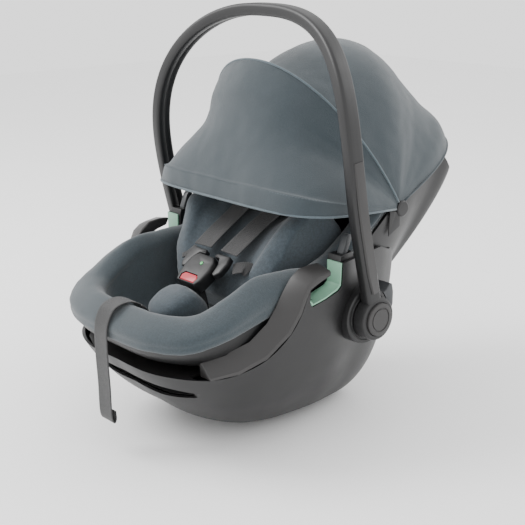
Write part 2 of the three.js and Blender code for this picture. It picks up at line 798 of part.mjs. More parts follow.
function inBuckle(geometry) {
  const { size } = buckle;
  return geometry.scale(size, size, size).rotateX(buckle.tilt).translate(0, buckle.y, buckle.z);
}

function outlineSolid(outline, depth, bevel) {
  const shape = new THREE.Shape(outline.map(([x, y]) => new THREE.Vector2(x, y)));
  const geometry = new THREE.ExtrudeGeometry(shape, {
    depth: depth - 2 * bevel, bevelEnabled: bevel > 0, bevelSize: bevel, bevelThickness: bevel,
    bevelOffset: -bevel, bevelSegments: 2, curveSegments: 6,
  });
  return welded(geometry.translate(0, 0, -depth / 2 + bevel));
}

const buckleOutline = [
  [-22, -30], [22, -30], [28, -20], [30, 0], [27, 18], [18, 28], [-18, 28], [-27, 18],
  [-30, 0], [-28, -20],
];
const buttonOutline = [[-17, -27], [17, -27], [19, -18], [14, -12.5], [-14, -12.5], [-19, -18]];

function buildBuckle() {
  const body = outlineSolid(buckleOutline, 24, 4);
  const grown = buttonOutline.map(([x, y]) => [x * 1.05, (y + 20) * 1.08 - 20]);
  const well = outlineSolid(grown, 20, 0).translate(0, 0, 9.5);
  const dot = welded(new THREE.CylinderGeometry(3.4, 3.4, 6, 16).rotateX(Math.PI / 2));
  return inBuckle(cut(body, well, dot.translate(4, 10, 13)));
}

function buildBuckleButton() {
  return inBuckle(outlineSolid(buttonOutline, 9, 1.5).translate(0, 0, 7));
}

function buildIndicator() {
  const dot = new THREE.CylinderGeometry(3, 3, 2.2, 16).rotateX(Math.PI / 2);
  return inBuckle(welded(dot).translate(4, 10, 11.6));
}

// Tongue: a rounded plastic loop at each side of the buckle's upper end.
function buildTongue() {
  const outline = [
    [11, 31], [24, 30], [31, 18], [33, 0], [40, -2], [47, 6], [48, 24], [44, 39], [14, 39],
  ];
  return cut(inBuckle(outlineSolid(outline, 12, 2).translate(0, 0, 1)), clearBuckle());
}

function clearBuckle() {
  const grown = buckleOutline.map(([x, y]) => [x * 1.03, y * 1.03]);
  return inBuckle(outlineSolid(grown, 40, 0));
}

add("buckle_body", buildBuckle(), black);
add("buckle_button", buildBuckleButton(), red);
add("buckle_indicator", buildIndicator(), green);
addPair("harness_tongue", buildTongue(), black);

// Crotch pad: stations of [y, underside, top, half width], under and in front of the buckle.
const crotchStations = [
  [-226, 178, 184, 12], [-216, 168, 196, 28], [-196, 159, 207, 35], [-176, 155, 213, 37],
  [-166, 155, 206, 36], [-156, 155, 197, 33], [-148, 155, 189, 28],
];

function buildCrotchPad() {
  const rings = crotchStations.map(([y, low, high, half]) =>
    Array.from({ length: 14 }, (_, i) => {
      const angle = (i / 14) * 2 * Math.PI;
      const middle = (low + high) / 2;
      const rise = (high - low) / 2;
      const shape = (v) => Math.sign(v) * Math.abs(v) ** 0.75;
      return at(half * shape(Math.cos(angle)), y, middle + rise * shape(Math.sin(angle)));
    }));
  return loft(rings);
}

const crotchPath = [at(0, -146, 203), at(0, -142, 188), at(0, -138, 170), at(0, -134, 153)];
const adjusterPath = [
  at(0, -232, 170), at(0, -240, 187), at(0, -256, 205), at(0, -277, 213), at(0, -299, 208),
  at(0, -311, 188), at(0, -313, 150), at(0, -311, 100), at(0, -309, 50), at(0, -306, 45.5),
  at(0, -303.5, 50), at(0, -304, 62),
];

add("crotch_pad", buildCrotchPad(), melange);
add("crotch_strap", strapAlong(crotchPath, 30, at(0, -1, 0.2), 5), strap);
add("adjuster_strap", strapAlong(adjusterPath, 30, at(0, -0.8, 0.6), 26), strap);
addPair("waist_strap", strapAlong(waistPath, 24, chest, 5), strap);

// ---------- canopy ----------
// Each station is a half plane through the pivot axis: its angle forward of upright, and the
// squarish arch it holds there (radius at the middle, half width, power).
const frontStations = [
  { angle: 31, radius: 245, half: 171.5, power: 2.1 },
  { angle: 37, radius: 239, half: 170, power: 2.05 },
  { angle: 43, radius: 229, half: 169.5, power: 2.05 },
  { angle: 48, radius: 215, half: 171.5, power: 2.1 },
  { angle: 56, radius: 201, half: 175.5, power: 2.4 },
  { angle: 66, radius: 195, half: 183, power: 3.2 },
  { angle: 76, radius: 197, half: 188, power: 4.3 },
  { angle: 78, radius: 202, half: 190, power: 4.6 },
  { angle: 85, radius: 204, half: 190, power: 4.8 },
];
const domeStations = [
  { angle: 34, radius: 208, half: 161, power: 2.1 },
  { angle: 20, radius: 211, half: 163, power: 2 },
  { angle: 5, radius: 220, half: 164, power: 2 },
  { angle: -10, radius: 230, half: 163, power: 2 },
  { angle: -24, radius: 226, half: 156, power: 2 },
  { angle: -36, radius: 212, half: 150, power: 2.2 },
  { angle: -48, radius: 204, half: 147, power: 2.7 },
  { angle: -58, radius: 208, half: 148, power: 3.3 },
  { angle: -67, radius: 207, half: 149, power: 3.5 },
];
const frontPivot = 170;
const domePivot = 162.5;
const canopyColumns = 22;
const canopyEye = 11; // the fabric stops this far from the pivot axis

function canopyRow({ angle, radius, half, power }, pivotHalf, inset, columns = canopyColumns) {
  const lean = THREE.MathUtils.degToRad(angle);
  const lastTurn = Math.acos((canopyEye / radius) ** (power / 2));
  return levels(columns).map((t) => {
    const turn = (2 * t - 1) * lastTurn;
    const share = Math.cos(turn) ** (2 / power);
    const across = Math.sign(turn) * Math.abs(Math.sin(turn)) ** (2 / power);
    const width = mix(pivotHalf - inset, half - inset, share);
    const r = (radius - inset) * share;
    return at(
      across * width, canopyAxis.y - r * Math.sin(lean), canopyAxis.z + r * Math.cos(lean),
    );
  });
}

function canopyPanel(stations, pivotHalf) {
  const outer = stations.map((station) => canopyRow(station, pivotHalf, 0));
  const inner = stations.map((station) => canopyRow(station, pivotHalf, canopySkin));
  return plate(outer, inner);
}

// Round rod through a row of points.
function rod(points, radius) {
  const rings = points.map((centre, i) => {
    const tangent = points[Math.min(i + 1, points.length - 1)].clone()
      .sub(points[Math.max(i - 1, 0)]).normalize();
    const first = at(0, canopyAxis.z, -canopyAxis.y).cross(tangent).normalize();
    const second = tangent.clone().cross(first).normalize();
    return Array.from({ length: 6 }, (_, k) => {
      const turn = (k / 6) * 2 * Math.PI;
      return centre.clone()
        .addScaledVector(first, radius * Math.cos(turn))
        .addScaledVector(second, radius * Math.sin(turn));
    });
  });
  return loft(rings);
}

const bow = { radius: 1.8, inset: 5.5, columns: 16 };

function canopyBow(station, pivotHalf, inset) {
  return rod(canopyRow(station, pivotHalf, inset, bow.columns), bow.radius);
}

const midStation = { angle: 32, radius: 236, half: 165, power: 2.1 };

// Pivot bracket: a plate on the bucket's side, with a pin and a cap outside the fabric.
function buildBracket() {
  const { y, z } = canopyAxis;
  const outline = [[y - 12, 268], [y + 12, 280], [y + 10, z + 2], [y, z + 8], [y - 10, z + 2]];
  const base = slab(outline, 157.3, 158.6);
  const face = frontPivot + 1.8;
  const pinProfile = [
    [157.5, 0], [157.5, 6.5], [face, 6.5], [face, 12], [face + 1.5, 12], [face + 3, 10],
    [face + 3, 0],
  ];
  return join(base, turned(pinProfile, y, z, 20));
}

add("canopy_front", canopyPanel(frontStations, frontPivot), slate);
add("canopy_dome", canopyPanel(domeStations, domePivot), slate);
add("canopy_bow_front", canopyBow(frontStations.at(-1), frontPivot, bow.inset), black);
add("canopy_bow_middle", canopyBow(midStation, 165.4, 0), black);
add("canopy_bow_rear", canopyBow(domeStations[4], domePivot, bow.inset), black);
addPair("canopy_bracket", buildBracket(), black);

export default group;
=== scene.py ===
import math

import bmesh
import bpy
import numpy as np
from mathutils import Matrix, Vector, noise


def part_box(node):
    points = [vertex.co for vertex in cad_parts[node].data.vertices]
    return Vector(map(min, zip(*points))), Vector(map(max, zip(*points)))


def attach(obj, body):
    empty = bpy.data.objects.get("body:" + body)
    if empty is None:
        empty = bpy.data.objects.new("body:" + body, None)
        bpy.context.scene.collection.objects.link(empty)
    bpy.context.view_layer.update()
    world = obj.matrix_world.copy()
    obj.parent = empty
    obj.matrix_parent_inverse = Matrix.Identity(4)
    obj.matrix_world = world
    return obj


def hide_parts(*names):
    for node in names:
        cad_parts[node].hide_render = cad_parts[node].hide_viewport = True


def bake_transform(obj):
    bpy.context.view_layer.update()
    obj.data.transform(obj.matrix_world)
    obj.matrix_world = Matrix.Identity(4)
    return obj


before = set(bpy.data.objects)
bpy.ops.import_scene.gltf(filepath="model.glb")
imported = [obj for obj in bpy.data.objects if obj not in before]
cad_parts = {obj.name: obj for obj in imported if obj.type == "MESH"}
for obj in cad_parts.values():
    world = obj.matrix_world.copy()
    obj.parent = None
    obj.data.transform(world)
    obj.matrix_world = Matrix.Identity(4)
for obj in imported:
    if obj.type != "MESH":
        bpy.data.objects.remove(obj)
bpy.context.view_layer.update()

MM = 0.001
scene = bpy.context.scene

# ---------- places read from the frame, in millimetres ----------


def low_high(node):
    """The lower and upper corner of a node's box."""
    low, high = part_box(node)
    return np.array(low) / MM, np.array(high) / MM


CAP_LOW, CAP_HIGH = low_high("hub_cap_left")
DRUM_LOW, DRUM_HIGH = low_high("hub_drum_left")
HUB_Z = (CAP_LOW[2] + CAP_HIGH[2]) / 2
BRACKET_LOW, BRACKET_HIGH = low_high("canopy_bracket_left")
PIVOT_CAP = 12  # radius of the cap at the end of the canopy's pivot
PIVOT_Y = (BRACKET_LOW[1] + BRACKET_HIGH[1]) / 2
PIVOT_Z = BRACKET_HIGH[2] - PIVOT_CAP
RECLINE = math.radians(41)
BACKREST_OUT = np.array([0, -math.sin(RECLINE), math.cos(RECLINE)])
LOOP = 160  # points round a bowl
WALL = 4


# ---------- camera and light, in metres and degrees ----------
CAMERA_AZIMUTH = 48
CAMERA_ELEVATION = 16.8
CAMERA_DISTANCE = 1.6
CAMERA_TARGET = (0, -0.0218, 0.2139)
CAMERA_LENS = 73.06
SKY_STRENGTH = 1.7


def make_camera():
    turn = math.radians(CAMERA_AZIMUTH)
    rise = math.radians(CAMERA_ELEVATION)
    back = Vector((math.cos(rise) * math.sin(turn), -math.cos(rise) * math.cos(turn), math.sin(rise)))
    data = bpy.data.cameras.new("camera")
    data.sensor_width = 36
    data.lens = CAMERA_LENS
    camera = bpy.data.objects.new("camera", data)
    scene.collection.objects.link(camera)
    camera.location = Vector(CAMERA_TARGET) + back * CAMERA_DISTANCE
    camera.rotation_euler = back.to_track_quat("Z", "Y").to_euler()
    scene.camera = camera


def make_light(name, place, target, size, power):
    data = bpy.data.lights.new(name, "AREA")
    data.size = size
    data.energy = power
    lamp = bpy.data.objects.new(name, data)
    scene.collection.objects.link(lamp)
    lamp.location = place
    lamp.rotation_euler = (Vector(place) - Vector(target)).to_track_quat("Z", "Y").to_euler()


def make_studio():
    world = bpy.data.worlds.new("studio")
    world.use_nodes = True
    background = world.node_tree.nodes["Background"]
    background.inputs["Color"].default_value = (1, 1, 1, 1)
    background.inputs["Strength"].default_value = SKY_STRENGTH
    scene.world = world
    make_light("key", (-1.3, -1.2, 1.9), (0, 0, 0.3), 1.2, 52)
    make_light("fill", (2.2, -0.5, 1.2), (0, 0, 0.25), 1.6, 5)
    make_light("rim", (0.9, 1.8, 1.7), (0, 0.1, 0.35), 1.2, 14)


# ---------- materials ----------
class Surface:
    """A node material with short ways to add textures to its Principled shader."""

    def __init__(self, name, roughness, metallic=0.0):
        self.material = bpy.data.materials.new(name)
        self.material.use_nodes = True
        self.tree = self.material.node_tree
        self.shader = self.tree.nodes["Principled BSDF"]
        self.shader.inputs["Roughness"].default_value = roughness
        self.shader.inputs["Metallic"].default_value = metallic

    def node(self, kind, **inputs):
        made = self.tree.nodes.new(kind)
        for socket, value in inputs.items():
            self.feed(made.inputs[socket.replace("_", " ")], value)
        return made

    def feed(self, socket, value):
        if isinstance(value, bpy.types.NodeSocket):
            self.tree.links.new(value, socket)
        else:
            socket.default_value = value

    def place(self, source="Object"):
        return self.node("ShaderNodeTexCoord").outputs[source]

    def noise(self, scale, detail=3.0, place=None):
        made = self.node("ShaderNodeTexNoise", Scale=scale, Detail=detail)
        self.feed(made.inputs["Vector"], place or self.place())
        return made.outputs["Fac"]

    def cells(self, scale, place=None):
        made = self.node("ShaderNodeTexVoronoi", Scale=scale)
        self.feed(made.inputs["Vector"], place or self.place())
        return made.outputs["Distance"]

    def bands(self, scale, axis, place):
        made = self.node("ShaderNodeTexWave", Scale=scale)
        made.bands_direction = axis
        made.wave_profile = "SIN"
        self.feed(made.inputs["Vector"], place)
        return made.outputs["Fac"]

    def math(self, operation, first, second):
        made = self.tree.nodes.new("ShaderNodeMath")
        made.operation = operation
        self.feed(made.inputs[0], first)
        self.feed(made.inputs[1], second)
        return made.outputs[0]

    def span(self, value, low, high, to_low, to_high):
        made = self.tree.nodes.new("ShaderNodeMapRange")
        for socket, number in zip(made.inputs, (value, low, high, to_low, to_high)):
            self.feed(socket, number)
        return made.outputs[0]

    def mix(self, share, first, second):
        made = self.tree.nodes.new("ShaderNodeMix")
        made.data_type = "RGBA"
        self.feed(made.inputs[0], share)
        self.feed(made.inputs[6], first)
        self.feed(made.inputs[7], second)
        return made.outputs[2]

    def bump(self, height, strength, depth, below=None):
        made = self.node("ShaderNodeBump", Strength=strength, Distance=depth, Height=height)
        if below:
            self.feed(made.inputs["Normal"], below)
        return made.outputs["Normal"]

    def finish(self, color, roughness=None, normal=None):
        self.feed(self.shader.inputs["Base Color"], color)
        if roughness:
            self.feed(self.shader.inputs["Roughness"], roughness)
        if normal:
            self.feed(self.shader.inputs["Normal"], normal)
        return self.material


def tone(color, factor):
    """A colour made lighter or darker, with its opacity."""
    return (*[min(1, c * factor) for c in color], 1)


def plastic(name, color, roughness=0.5, grain=0.12, wear=1.7):
    """Moulded plastic: fine spark-eroded grain, patchy gloss, and edges rubbed paler."""
    surface = Surface(name, roughness)
    fine = surface.noise(1500, 2)
    broad = surface.noise(14, 4)
    worn = surface.tree.nodes.new("ShaderNodeNewGeometry").outputs["Pointiness"]
    edge = surface.span(worn, 0.52, 0.6, 0, 0.55)
    body = surface.mix(broad, tone(color, 0.86), tone(color, 1.14))
    base = surface.mix(edge, body, tone(color, wear))
    gloss = surface.span(broad, 0.25, 0.75, roughness - 0.07, roughness + 0.07)
    return surface.finish(base, gloss, surface.bump(fine, grain, 0.0004))


def cloth(name, color, weave, mottle, lift=1.3, sheen=0.25):
    """Woven or knitted cloth: small stitches in relief, mottled yarn, and slow colour drift."""
    surface = Surface(name, 0.92)
    surface.shader.inputs["Sheen Weight"].default_value = sheen
    surface.shader.inputs["Sheen Roughness"].default_value = 0.6
    stitches = surface.cells(weave)
    yarn = surface.noise(mottle, 6)
    drift = surface.noise(7, 2)
    mottled = surface.mix(surface.span(yarn, 0.35, 0.65, 0, 1), tone(color, 0.86), tone(color, lift))
    base = surface.mix(surface.span(drift, 0.3, 0.7, 0.0, 0.35), mottled, tone(color, 0.9))
    dark = surface.mix(surface.span(stitches, 0.1, 0.7, 0, 0.35), base, tone(color, 0.55))
    slow = surface.bump(surface.noise(55, 3), 0.25, 0.0015)
    return surface.finish(dark, None, surface.bump(stitches, 0.5, 0.0005, slow))


def webbing(name, color):
    """Belt webbing: ribs along the belt crossed by a diagonal twill, with thicker selvedges."""
    surface = Surface(name, 0.6)
    surface.shader.inputs["Sheen Weight"].default_value = 0.2
    place = surface.place("UV")
    turned = surface.node("ShaderNodeMapping", Vector=place)
    turned.inputs["Rotation"].default_value = (0, 0, math.radians(38))
    twill = surface.bands(260, "X", turned.outputs[0])
    ribs = surface.bands(150, "X", place)
    height = surface.math("ADD", twill, surface.math("MULTIPLY", ribs, 0.6))
    base = surface.mix(twill, tone(color, 0.7), tone(color, 1.7))
    fluff = surface.noise(900, 2)
    rough = surface.span(fluff, 0.3, 0.7, 0.5, 0.72)
    return surface.finish(base, rough, surface.bump(height, 0.6, 0.0005))


def steel(name):
    surface = Surface(name, 0.3, 1.0)
    rings = surface.noise(1200, 2)
    rough = surface.span(rings, 0.3, 0.7, 0.22, 0.4)
    base = surface.mix(rings, (0.5, 0.51, 0.52, 1), (0.66, 0.67, 0.68, 1))
    return surface.finish(base, rough, surface.bump(rings, 0.1, 0.0002))


def foam(name, color):
    surface = Surface(name, 0.9)
    beads = surface.cells(260)
    base = surface.mix(beads, tone(color, 1.1), tone(color, 0.8))
    return surface.finish(base, None, surface.bump(beads, 0.5, 0.001))


BLACK = plastic("black_plastic", (0.0055, 0.0055, 0.006), 0.46)
CHARCOAL = plastic("charcoal_plastic", (0.019, 0.018, 0.018), 0.42, wear=1.5)
GREY = plastic("grey_plastic", (0.04, 0.043, 0.046), 0.45, wear=1.4)
MINT = plastic("mint_plastic", (0.19, 0.37, 0.26), 0.42, 0.06, 1.15)
RED = plastic("red_plastic", (0.45, 0.03, 0.045), 0.33, 0.04, 1.2)
GREEN = plastic("green_plastic", (0.05, 0.36, 0.1), 0.35, 0.04, 1.2)
SLATE = cloth("slate_cloth", (0.023, 0.036, 0.044), 900, 420)
CANOPY_CLOTH = cloth("canopy_cloth", (0.023, 0.036, 0.044), 1100, 700, 1.18)
JERSEY = cloth("insert_jersey", (0.034, 0.049, 0.061), 700, 260, 1.4)
PIPING = cloth("piping_cloth", (0.07, 0.1, 0.118), 1300, 500, 1.2)
THREAD = cloth("thread", (0.05, 0.075, 0.09), 2500, 900, 1.2)
BELT = webbing("belt_webbing", (0.0055, 0.0055, 0.006))
STEEL = steel("pin_steel")
FOAM = foam("bead_foam", (0.48, 0.5, 0.51))


# ---------- mesh helpers ----------
def make_mesh(name, points, faces):
    """A mesh object from points in millimetres, with its faces turned outward and smooth."""
    mesh = bpy.data.meshes.new(name)
    mesh.from_pydata([tuple(np.asarray(p) * MM) for p in points], [], [tuple(f) for f in faces])
    clean = bmesh.new()
    clean.from_mesh(mesh)
    bmesh.ops.remove_doubles(clean, verts=clean.verts, dist=1e-6)
    bmesh.ops.recalc_face_normals(clean, faces=clean.faces)
    clean.to_mesh(mesh)
    clean.free()
    mesh.shade_smooth()
    piece = bpy.data.objects.new(name, mesh)
    scene.collection.objects.link(piece)
    return piece


def strip_faces(rows, columns, round_columns):
    """Quads between rows of points; each row closes on itself where round_columns is true."""
    faces = []
    for r in range(rows - 1):
        for c in range(columns if round_columns else columns - 1):
            d = (c + 1) % columns
            faces.append((r * columns + c, r * columns + d, (r + 1) * columns + d,
                          (r + 1) * columns + c))
    return faces


def lofted(name, rings, caps=True):
    """Skins closed rings of points, and fans both ends from their middles."""
    count = len(rings[0])
    points = [p for ring in rings for p in ring]
    faces = strip_faces(len(rings), count, True)
    if caps:
        for start in (0, (len(rings) - 1) * count):
            middle = np.mean(points[start:start + count], axis=0)
            points.append(middle)
            faces += [(len(points) - 1, start + i, start + (i + 1) % count) for i in range(count)]
    return make_mesh(name, points, faces)


def sheet_mesh(name, rows):
    points = [p for row in rows for p in row]
    return make_mesh(name, points, strip_faces(len(rows), len(rows[0]), False))


def add_modifier(piece, kind, **values):
    made = piece.modifiers.new(kind.lower(), kind)
    for key, value in values.items():
        setattr(made, key, value)
    return made


def apply_modifiers(piece):
    bpy.context.view_layer.update()
    shown = piece.evaluated_get(bpy.context.evaluated_depsgraph_get())
    mesh = bpy.data.meshes.new_from_object(shown)
    piece.modifiers.clear()
    piece.data = mesh
    return piece


def copied(name, node):
    """A copy of a CAD node's mesh, with its flat faces whole again."""
    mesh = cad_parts[node].data.copy()
    mesh.materials.clear()
    clean = bmesh.new()
    clean.from_mesh(mesh)
    bmesh.ops.remove_doubles(clean, verts=clean.verts, dist=1e-5)
    bmesh.ops.dissolve_limit(clean, verts=clean.verts, edges=clean.edges, angle_limit=0.02)
    clean.to_mesh(mesh)
    clean.free()
    mesh.shade_smooth()
    piece = bpy.data.objects.new(name, mesh)
    scene.collection.objects.link(piece)
    return piece


def dressed(piece, body, slot, material, *nodes):
    """Gives a finished piece its material and its body, and hides the nodes that it stands for. The
    slot is not used.
    """
    piece.data.materials.clear()
    piece.data.materials.append(material)
    if body:
        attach(piece, body)
    if nodes:
        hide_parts(*nodes)
    return piece


def moulded(node, slot, material, radius=1.0, body="seat"):
    """A hard CAD node with its edges rounded."""
    piece = copied(f"{node}_moulded", node)
    add_modifier(piece, "BEVEL", width=radius * MM, segments=3, limit_method="ANGLE",
                 angle_limit=math.radians(32), harden_normals=True, use_clamp_overlap=True)
    return dressed(piece, body, slot, material, node)


def moulded_pair(node, slot, material, radius=1.0, body="seat", right_body=None):
    moulded(f"{node}_left", slot, material, radius, body)
    moulded(f"{node}_right", slot, material, radius, right_body or body)


# ---------- curves and bowls ----------
def curve(points, count, closed=False):
    """Centripetal Catmull-Rom curve through points of any dimension: count + 1 places, or count
    on a closed curve."""
    points = np.asarray(points, float)
    total = len(points)
    found = []
    for step in range(count if closed else count + 1):
        t = step / count * (total if closed else total - 1)
        i = min(int(t), total - 1 if closed else total - 2)
        if closed:
            p0, p1, p2, p3 = (points[(i + k) % total] for k in (-1, 0, 1, 2))
        else:
            p1, p2 = points[i], points[i + 1]
            p0 = points[i - 1] if i > 0 else 2 * p1 - p2
            p3 = points[i + 2] if i + 2 < total else 2 * p2 - p1
        found.append(curve_piece(p0, p1, p2, p3, t - i))
    return np.array(found)


def curve_piece(p0, p1, p2, p3, w):
    d0, d1, d2 = (max(np.linalg.norm(b - a) ** 0.5, 1e-4) for a, b in ((p0, p1), (p1, p2), (p2, p3)))
    t1 = ((p1 - p0) / d0 - (p2 - p0) / (d0 + d1) + (p2 - p1) / d1) * d1
    t2 = ((p2 - p1) / d1 - (p3 - p1) / (d1 + d2) + (p3 - p2) / d2) * d1
    c2 = -3 * p1 + 3 * p2 - 2 * t1 - t2
    c3 = 2 * p1 - 2 * p2 + t1 + t2
    return p1 + t1 * w + c2 * w ** 2 + c3 * w ** 3


def loop(half, count=LOOP):
    """Half an outline from the foot end to the head end, mirrored into a closed smooth loop."""
    half = np.asarray(half, float)
    right = half[1:-1][::-1] * [-1, 1, 1]
    return curve(np.vstack([half, right]), count, True)


FOOT_CENTRE = -120
HEAD_CENTRE = 60


def inward(half, depth, rise=0.0):
    """Half an outline moved in by depth, towards the middle line between its two centres."""
    moved = []
    for x, y, z in half:
        middle = min(max(y, FOOT_CENTRE), HEAD_CENTRE)
        length = math.hypot(x, y - middle) or 1
        moved.append((x - depth * x / length, y - depth * (y - middle) / length, z + rise))
    return moved


def bowl_rings(rim, bottom, squareness, count):
    """Rings from the rim down to the bottom, with walls as square as squareness says from foot
    over side to head."""
    share = 1 - np.abs(1 - 2 * np.arange(len(rim)) / len(rim))
    foot, side, head = squareness
    power = np.where(share < 0.5, foot + (side - foot) * share * 2,
                     side + (head - side) * (share * 2 - 1))
    rings = []
    for level in np.linspace(0, 1, count + 1):
        turn = level * math.pi / 2
        inwards = (np.maximum(math.cos(turn), 0) ** (2 / power))[:, None]
        down = math.sin(turn) ** (2 / power)
        ring = bottom + (rim - bottom) * inwards
        ring[:, 2] = rim[:, 2] + (bottom[:, 2] - rim[:, 2]) * down
        rings.append(ring)
    return rings


def bowl(rim, base, squareness, depth, count=28):
    return bowl_rings(loop(inward(rim, depth)), loop(inward(base, depth, depth)), squareness, count)


def slab(name, outline, inner, outer):
    """A block with a flat outline of (y, z) corners, from x = inner to x = outer."""
    count = len(outline)
    points = [(x, y, z) for x in (inner, outer) for y, z in outline]
    faces = [list(range(count)), list(range(count, 2 * count))]
    faces += [(i, (i + 1) % count, count + (i + 1) % count, count + i) for i in range(count)]
    return make_mesh(name, points, faces)


def cut(piece, *tools):
    for tool in tools:
        add_modifier(piece, "BOOLEAN", object=tool, operation="DIFFERENCE", solver="EXACT")
    apply_modifiers(piece)
    for tool in tools:
        bpy.data.objects.remove(tool)
    return piece


def sharpened(piece, angle=34):
    """Marks the edges sharper than an angle, so that the rest shades smooth."""
    piece.data.shade_smooth()
    piece.data.set_sharp_from_angle(angle=math.radians(angle))
    return piece


def turned(name, profile, y, z, segments=96):
    """A turned piece on an axis along X through y, z. Profile: (x, radius), from the axis to it."""
    angles = np.linspace(0, 2 * math.pi, segments, endpoint=False)
    rings = [[(x, y + r * math.cos(a), z + r * math.sin(a)) for a in angles]
             for x, r in profile if r > 0]
    return sharpened(lofted(name, rings), 28)


def mirror_copy(piece, name):
    mesh = piece.data.copy()
    mesh.transform(Matrix.Diagonal((-1, 1, 1, 1)))
    mesh.flip_normals()
    twin = bpy.data.objects.new(name, mesh)
    scene.collection.objects.link(twin)
    return twin


def coordinates(mesh):
    """The places of a mesh's points, in metres."""
    values = np.zeros(len(mesh.vertices) * 3)
    mesh.vertices.foreach_get("co", values)
    return values.reshape(-1, 3)


def set_coordinates(mesh, values):
    """Moves a mesh's points to places in metres."""
    mesh.vertices.foreach_set("co", values.ravel())
    mesh.update()


def normals(mesh):
    values = np.zeros(len(mesh.vertices) * 3)
    mesh.vertices.foreach_get("normal", values)
    return values.reshape(-1, 3)


def rumpled(piece, height, size, seed, where=None):
    """Moves the surface in and out by soft noise: height and size in millimetres."""
    places = coordinates(piece.data)
    out = normals(piece.data)
    wave = np.array([noise.noise(Vector(p) / (size * MM) + Vector((seed, 0, 0))) for p in places])
    share = np.ones(len(places)) if where is None else where(places / MM)
    set_coordinates(piece.data, places + out * (wave * share * height * MM)[:, None])
    return piece


def reach_along(path):
    """How far along a path each of its points lies."""
    return np.concatenate([[0], np.cumsum(np.linalg.norm(np.diff(path, axis=0), axis=1))])


def unit(vectors):
    """Vectors, one to a row, brought to length 1."""
    return vectors / np.linalg.norm(vectors, axis=-1, keepdims=True)


ASKEW = np.array([0.31, 0.23, 0.92])  # no cord or thread runs this way


def cord_mesh(name, path, radius, sides=8):
    """A thin round cord along a path, for piping and thread."""
    ahead = unit(np.gradient(path, axis=0))
    side = unit(np.cross(ahead, ASKEW))
    up = np.cross(side, ahead)
    turns = np.linspace(0, 2 * math.pi, sides, endpoint=False)
    rings = [[p + radius * (s * math.cos(a) + u * math.sin(a)) for a in turns]
             for p, s, u in zip(path, side, up)]
    return lofted(name, rings)


def stitches(name, path, pitch=4.5, length=3.0, radius=0.4, sides=6):
    """A row of short threads along a path of closely spaced points."""
    reach = reach_along(path)
    points = []
    faces = []
    for start in np.arange(pitch / 2, reach[-1] - length, pitch):
        ends = [np.array([np.interp(s, reach, path[:, k]) for k in range(3)])
                for s in (start, start + length * 0.2, start + length * 0.8, start + length)]
        ahead = unit(ends[-1] - ends[0])
        side = unit(np.cross(ahead, ASKEW))
        up = np.cross(side, ahead)
        first = len(points)
        for place, share in zip(ends, (0.35, 1, 1, 0.35)):
            points += [place + radius * share * (side * math.cos(a) + up * math.sin(a))
                       for a in np.linspace(0, 2 * math.pi, sides, endpoint=False)]
        last = len(points) - sides
        faces += [tuple(first + i for i in f) for f in strip_faces(len(ends), sides, True)]
        faces += [tuple(range(first, first + sides)), tuple(range(last, last + sides))]
    return make_mesh(name, points, faces)


# ---------- bucket, foam and cover ----------
BUCKET_RIM = [
    (0, -302, 172), (80, -296, 171), (134, -266, 178), (156, -220, 192), (160, -160, 208),
    (160, -95, 222), (159, -35, 232), (158, 25, 262), (156, 85, 305), (150, 145, 344),
    (136, 214, 372), (128, 252, 340), (70, 272, 348), (0, 278, 350),
]
BUCKET_BASE = [
    (0, -205, 128), (40, -203, 128), (72, -190, 126), (92, -165, 120), (98, -135, 112),
    (98, -100, 101), (98, -65, 95), (97, -40, 92), (95, -22, 90), (90, -10, 89),
    (78, 0, 89), (60, 4, 89), (32, 6, 89), (0, 6, 89),
]
CROWN_HEAD = [(124, 204, 381), (100, 216, 391), (52, 228, 397), (0, 232, 398)]
CROWN_UNDER = [(120, 201, 378), (97, 213, 388), (51, 225, 394), (0, 229, 395)]
CAVITY_RIM = [
    (0, -260, 199), (72, -255, 199), (104, -229, 204), (115, -198, 217), (120, -156, 236),
    (125, -104, 240), (127, -54, 244), (128, 5, 274), (127, 62, 316), (122, 122, 352),
    (108, 172, 376), (84, 196, 386), (45, 208, 390), (0, 212, 391),
]
CAVITY_BASE = [
    (0, -190, 152), (34, -188, 152), (58, -176, 151), (72, -154, 148), (78, -128, 146),
    (78, -104, 145), (78, -86, 145), (76, -72, 146), (74, -62, 147), (68, -56, 148),
    (58, -52, 149), (42, -50, 149), (22, -50, 149), (0, -50, 149),
]
BUCKET_SQUARENESS = (1.9, 1.7, 1.05)
CAVITY_SQUARENESS = (2.4, 2.4, 1.12)
COVER_CREST = [
    (0, -274, 209), (77, -269, 208), (117, -243, 213), (133, -205, 231), (137, -159, 251),
    (140, -104, 252), (143, -52, 252), (144, 8, 280), (142, 66, 320), (136, 126, 356),
    (112, 184, 386), (88, 202, 396), (46, 214, 401), (0, 218, 402),
]
COVER_SHOULDER = [
    (0, -307, 188), (84, -300, 187), (140, -267, 192), (160.5, -218, 208), (162.3, -160, 228),
    (162.3, -98, 238), (159, -42, 246), (156, 20, 272), (154, 80, 314), (145, 138, 352),
    (118, 194, 384), (94, 208, 394), (49, 220, 399), (0, 224, 400),
]
COVER_HEM = [
    (0, -306, 168), (82, -299, 168), (137, -269, 172), (159, -221, 186), (162.3, -160, 200),
    (162.3, -95, 216), (155, -36, 238), (152, 24, 264), (150, 84, 306), (142, 142, 345),
    (118, 196, 378), (94, 210, 389), (49, 222, 394), (0, 226, 395),
]


SEAM_WIDTH = 3.2
SEAM_DEPTH = 1.6


